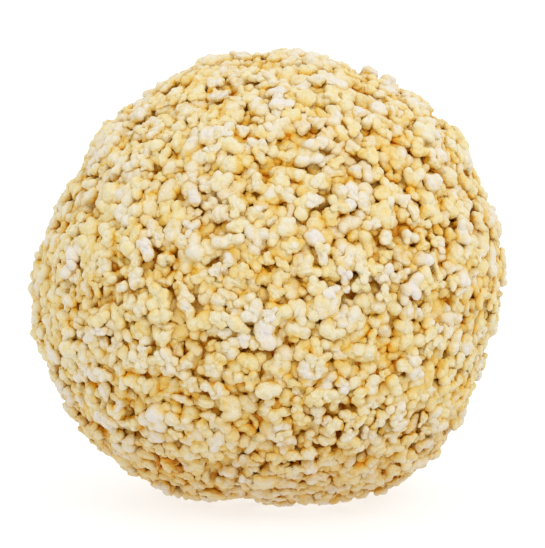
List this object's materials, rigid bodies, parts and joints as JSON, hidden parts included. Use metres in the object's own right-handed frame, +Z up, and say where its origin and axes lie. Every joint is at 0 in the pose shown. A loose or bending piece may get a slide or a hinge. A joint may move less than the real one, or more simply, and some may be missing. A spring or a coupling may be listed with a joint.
{
  "type": "amaranth ladoo",
  "caption": "Hand-pressed ball of popped amaranth grains set in syrup, slightly squarish, resting on a small flat spot.",
  "frame": {"origin": "middle of the flat spot that the ball rests on", "axes": "+Z up, -Y to the front, which is the side the picture shows"},
  "size_m": [0.0519, 0.05, 0.0491],
  "materials": {
    "popped_amaranth": "matte cream and ivory popped grains, with golden-brown syrup in the gaps between them"
  },
  "bodies": {
    "root": {"ladoo": "popped_amaranth"}
  },
  "joints": []
}
